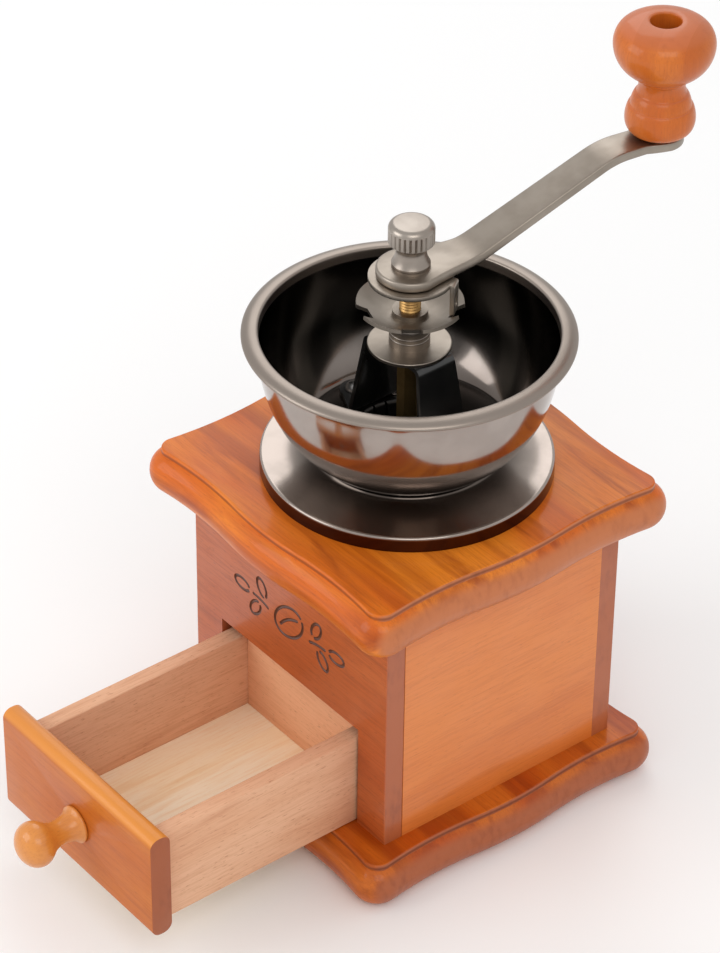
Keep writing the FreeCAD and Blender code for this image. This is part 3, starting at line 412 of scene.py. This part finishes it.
def lathe(name, profile, centre, axis=(0, 0, 1), steps=64, levels=2):
    # a turned piece: a point pushed along the profile, spun round the axis and subdivided
    axis = Vector(axis)
    outward = Vector((1, 0, 0))
    spots = [Vector(centre) + outward * (radius * mm) + axis * (height * mm) for radius, height in profile]
    bpy.ops.object.select_all(action="DESELECT")
    bpy.ops.mesh.primitive_plane_add(size=0.001, location=spots[0])
    made = bpy.context.object
    made.name = name
    made.data.name = name
    bpy.ops.object.transform_apply(location=True, rotation=True, scale=True)
    bpy.ops.object.mode_set(mode="EDIT")
    bpy.ops.mesh.select_all(action="SELECT")
    bpy.ops.mesh.merge(type="CENTER")
    for here, there in zip(spots, spots[1:]):
        bpy.ops.mesh.extrude_region_move(TRANSFORM_OT_translate={"value": there - here})
    if profile[0][0] > 0:
        # back to the start, so that the wall is closed
        bpy.ops.mesh.extrude_region_move(TRANSFORM_OT_translate={"value": spots[0] - spots[-1]})
    bpy.ops.mesh.select_all(action="SELECT")
    bpy.ops.mesh.remove_doubles(threshold=1e-7)
    bpy.ops.mesh.spin(steps=steps, angle=2 * math.pi, center=centre, axis=axis)
    bpy.ops.mesh.select_all(action="SELECT")
    bpy.ops.mesh.remove_doubles(threshold=1e-7)
    bpy.ops.mesh.normals_make_consistent(inside=False)
    bpy.ops.object.mode_set(mode="OBJECT")
    rounding = made.modifiers.new("Round", "SUBSURF")
    rounding.levels = rounding.render_levels = levels
    bpy.ops.object.modifier_apply(modifier="Round")
    bpy.ops.object.shade_smooth()
    return made


def finish(piece, node, body, material):
    piece.data.materials.clear()
    piece.data.materials.append(material)
    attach(piece, body)
    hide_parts(node)
    print(piece.name, len(piece.data.polygons), "faces")
    return piece


def softened(node, name, width, segments=3, angle=30):
    # a merged copy of a CAD node with its sharp edges rounded off
    bpy.ops.object.select_all(action="DESELECT")
    source = cadNodes[node]
    made = source.copy()
    made.data = source.data.copy()
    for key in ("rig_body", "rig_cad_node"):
        if key in made:
            del made[key]
    made.parent = None
    made.name = name
    made.data.name = name
    bpy.context.collection.objects.link(made)
    bpy.context.view_layer.objects.active = made
    made.select_set(True)
    bpy.ops.mesh.customdata_custom_splitnormals_clear()
    bpy.ops.object.mode_set(mode="EDIT")
    bpy.ops.mesh.select_all(action="SELECT")
    bpy.ops.mesh.remove_doubles(threshold=2e-6)
    bpy.ops.mesh.mark_sharp(clear=True)
    bpy.ops.mesh.dissolve_limited(angle_limit=math.radians(0.6))
    bpy.ops.object.mode_set(mode="OBJECT")
    bpy.ops.object.shade_smooth()
    soft = made.modifiers.new("Soft", "BEVEL")
    soft.width = width * mm
    soft.segments = segments
    soft.limit_method = "ANGLE"
    soft.angle_limit = math.radians(angle)
    soft.harden_normals = False
    bpy.ops.object.modifier_apply(modifier="Soft")
    bpy.ops.object.shade_smooth_by_angle(angle=math.radians(35))
    return made


bowl = {
    "seat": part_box("hopper_bowl")[0].z,
    "profile": [
        (29.1, 0.0), (29.9, 0.0), (30.3, 0.25), (31.7, 1.5), (34.6, 4.05), (37.3, 6.8), (39.7, 9.8),
        (41.9, 13.3), (43.9, 17.4), (45.4, 21.6), (46.6, 26.6), (47.5, 31.6), (48.15, 36.4),
        (48.5, 38.5), (49.2, 39.8), (50.6, 40.35), (51.9, 40.55), (52.6, 40.85), (52.85, 41.4),
        (52.6, 42.0), (51.6, 42.7), (50.1, 43.15), (48.6, 43.2), (47.7, 43.1), (47.25, 42.7),
        (47.2, 41.9), (47.2, 38.4), (46.95, 34.2), (46.3, 29.2), (45.3, 24.2), (43.9, 19.7),
        (41.6, 14.6), (38.7, 9.8), (36.2, 6.7), (34.5, 5.05), (33.2, 4.2), (31.8, 4.0), (26.0, 4.0),
        (20.9, 4.0), (20.4, 3.95), (20.3, 3.7), (20.3, 3.25), (20.6, 3.0), (24.0, 3.0), (28.4, 3.0),
        (29.0, 2.8), (29.0, 2.2), (29.0, 0.3)],
}
bowlPiece = lathe("hopper_bowl_turned", bowl["profile"], (0, 0, bowl["seat"]))
finish(bowlPiece, "hopper_bowl", "cabinet", metals["hopper_metal"])

flange = {
    "seat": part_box("hopper_flange")[0].z,
    "profile": [
        (46.3, 0.0), (47.1, 0.0), (47.2, 0.1), (47.2, 0.6), (47.2, 4.2), (47.15, 4.8), (46.85, 5.2),
        (46.2, 5.3), (45.4, 5.3), (42.0, 5.5), (38.0, 6.05), (34.5, 6.8), (32.0, 7.6), (31.0, 8.05),
        (30.6, 8.5), (30.4, 8.75), (30.0, 8.8), (26.0, 8.8), (22.9, 8.8), (22.5, 8.6), (22.5, 8.0),
        (22.8, 7.8), (26.0, 7.8), (29.2, 7.75), (31.4, 6.8), (37.4, 5.1), (42.0, 4.55), (45.6, 4.3),
        (46.15, 4.05), (46.2, 3.5), (46.2, 0.3)],
}
flangePiece = lathe("hopper_flange_turned", flange["profile"], (0, 0, flange["seat"]))
finish(flangePiece, "hopper_flange", "cabinet", metals["flange_metal"])

knobLow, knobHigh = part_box("crank_knob")
crankKnob = {
    "centre": ((knobLow.x + knobHigh.x) / 2, (knobLow.y + knobHigh.y) / 2, knobLow.z),
    "profile": [
        (3.1, 0.0), (3.5, 0.0), (8.0, 0.0), (8.7, 0.15), (9.8, 0.7), (10.8, 2.0), (11.3, 4.0),
        (11.25, 6.2), (10.8, 8.2), (10.35, 9.3), (10.05, 9.6), (9.8, 9.75), (9.7, 10.2), (9.55, 11.2),
        (9.0, 12.8), (8.5, 13.6), (8.15, 13.85), (7.9, 14.1), (7.6, 15.0), (7.35, 16.6), (7.45, 18.0),
        (7.75, 18.75), (8.2, 18.95), (8.35, 19.2), (8.35, 19.7), (8.7, 20.0), (10.6, 21.1),
        (13.2, 23.2), (15.2, 26.2), (16.15, 29.6), (16.15, 32.6), (15.1, 35.4), (13.2, 37.2),
        (10.6, 38.4), (8.0, 38.9), (6.1, 39.05), (5.3, 39.0), (4.95, 38.7), (4.9, 38.2), (4.9, 33.0),
        (4.9, 27.4), (4.7, 27.0), (3.3, 27.0), (3.1, 26.8), (3.1, 20.0), (3.1, 8.0), (3.1, 0.3)],
}
knobPiece = lathe("crank_knob_turned", crankKnob["profile"], crankKnob["centre"])
finish(knobPiece, "crank_knob", "knob", woods["knob_wood"])

pullLow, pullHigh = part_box("drawer_knob")
drawerKnob = {
    "centre": ((pullLow.x + pullHigh.x) / 2, pullHigh.y, (pullLow.z + pullHigh.z) / 2),
    "profile": [
        (0.0, 0.0), (2.2, 0.0), (5.8, 0.0), (6.25, 0.1), (6.5, 0.7), (6.3, 1.25), (5.7, 1.6),
        (4.9, 2.9), (4.4, 4.6), (4.15, 6.6), (4.2, 8.4), (4.7, 10.2), (5.6, 11.6), (6.7, 12.8),
        (7.5, 14.4), (7.7, 16.2), (7.3, 18.0), (6.2, 19.7), (4.6, 20.9), (2.8, 21.7), (1.2, 21.95),
        (0.0, 22.0)],
}
pullPiece = lathe("drawer_knob_turned", drawerKnob["profile"], drawerKnob["centre"], (0, -1, 0))
finish(pullPiece, "drawer_knob", "drawer", woods["drawer_knob_wood"])
print("turned pieces made")

# edges that a hand would soften: node, rounding, material, slot
eased = [
    ("crank_arm", 0.75, metals["bright_metal"], "bright_metal"),
    ("lock_plate", 0.3, metals["bright_metal"], "bright_metal"),
    ("bridge_bracket", 0.35, metals["bridge_metal"], "bridge_metal"),
    ("drawer_left_side", 0.45, woods["drawer_wood"], "drawer_wood"),
    ("drawer_right_side", 0.45, woods["drawer_wood"], "drawer_wood"),
    ("drawer_back", 0.35, woods["drawer_back_lit_wood"], "drawer_wood"),
    ("drawer_floor", 0.15, woods["drawer_floor_wood"], "drawer_floor_wood"),
    ("drawer_front", 0.5, woods["drawer_front_wood"], "drawer_front_wood"),
]
bodyOf = {name: body for body, names in frame["record"]["behaviour"]["bodies"].items() for name in names}
for node, width, material, slotName in eased:
    finish(softened(node, node + "_eased", width), node, bodyOf[node], material)
print("edges eased")

# the CAD nodes that stay
worn = {
    "top_board": woods["board_wood"], "base_board": woods["board_wood"],
    "front_panel": woods["front_wood"], "back_panel": woods["front_wood"],
    "left_panel": woods["side_wood"], "right_panel": woods["side_wood"],
    "drawer_guide_left": woods["drawer_wood"], "drawer_guide_right": woods["drawer_wood"],
    "bearing_bush": metals["turned_metal"], "thumb_nut": metals["turned_metal"],
    "nut_washer": metals["turned_metal"], "knob_washer": metals["turned_metal"],
    "knob_pin": metals["turned_metal"], "bridge_plate": metals["bright_metal"],
    "adjusting_wheel": metals["bright_metal"], "spindle": metals["brass"],
    "burr_ring": metals["burr_iron"], "burr_cone": metals["burr_iron"],
}
for name, piece in cadNodes.items():
    piece.data.materials.clear()
    piece.data.materials.append(worn.get(name, metals["fastener_steel"]))
print("CAD nodes painted")


stageLook = {"floorSize": 6.0, "sky": 0.8, "key": 4.2, "rim": 2.4, "fill": 4.6}


def areaLight(name, place, target, size, power, tint=(1, 1, 1)):
    lamp = bpy.data.lights.new(name, "AREA")
    lamp.shape = "RECTANGLE"
    lamp.size, lamp.size_y = size
    lamp.energy = power
    lamp.color = tint
    holder = bpy.data.objects.new(name, lamp)
    bpy.context.scene.collection.objects.link(holder)
    holder.location = place
    holder.rotation_euler = (Vector(target) - Vector(place)).to_track_quat("-Z", "Y").to_euler()
    return holder


bpy.ops.object.select_all(action="DESELECT")
bpy.ops.mesh.primitive_plane_add(size=stageLook["floorSize"], location=(0, 0, -0.0002))
floor = bpy.context.object
floor.name = "floor"
floorMaterial = newMaterial("floor_paper", {"Roughness": 0.9, "Specular IOR Level": 0.1,
                                            "Base Color": (0.93, 0.93, 0.93, 1)})[0]
floor.data.materials.append(floorMaterial)

world = bpy.data.worlds.new("studio")
world.use_nodes = True
world.node_tree.nodes["Background"].inputs["Color"].default_value = (1, 1, 1, 1)
world.node_tree.nodes["Background"].inputs["Strength"].default_value = stageLook["sky"]
bpy.context.scene.world = world
areaLight("key", (0.9, -0.5, 1.1), (0, 0, 0.1), (0.9, 0.7), stageLook["key"], (1.0, 0.98, 0.95))
areaLight("rim", (-0.8, 0.6, 1.0), (0, 0, 0.12), (0.6, 0.9), stageLook["rim"])
areaLight("fill", (-0.5, -1.1, 0.7), (0, 0, 0.08), (0.8, 0.8), stageLook["fill"])

cameraLook = {"place": (0.7549, -0.6261, 0.8315), "aim": (-0.00936, -0.01164, 0.11267), "roll": 0.65,
              "lens": 143.5}
cameraData = bpy.data.cameras.new("camera")
cameraData.lens = cameraLook["lens"]
cameraData.sensor_width = 36.0
cameraData.clip_start, cameraData.clip_end = 0.05, 20.0
camera = bpy.data.objects.new("camera", cameraData)
bpy.context.scene.collection.objects.link(camera)
aim = (Vector(cameraLook["aim"]) - Vector(cameraLook["place"])).to_track_quat("-Z", "Y")
camera.rotation_mode = "QUATERNION"
camera.rotation_quaternion = aim @ Matrix.Rotation(math.radians(cameraLook["roll"]), 3, "Z").to_quaternion()
camera.location = cameraLook["place"]
bpy.context.scene.camera = camera
bpy.context.scene.view_settings.view_transform = "Standard"
print("stage set")
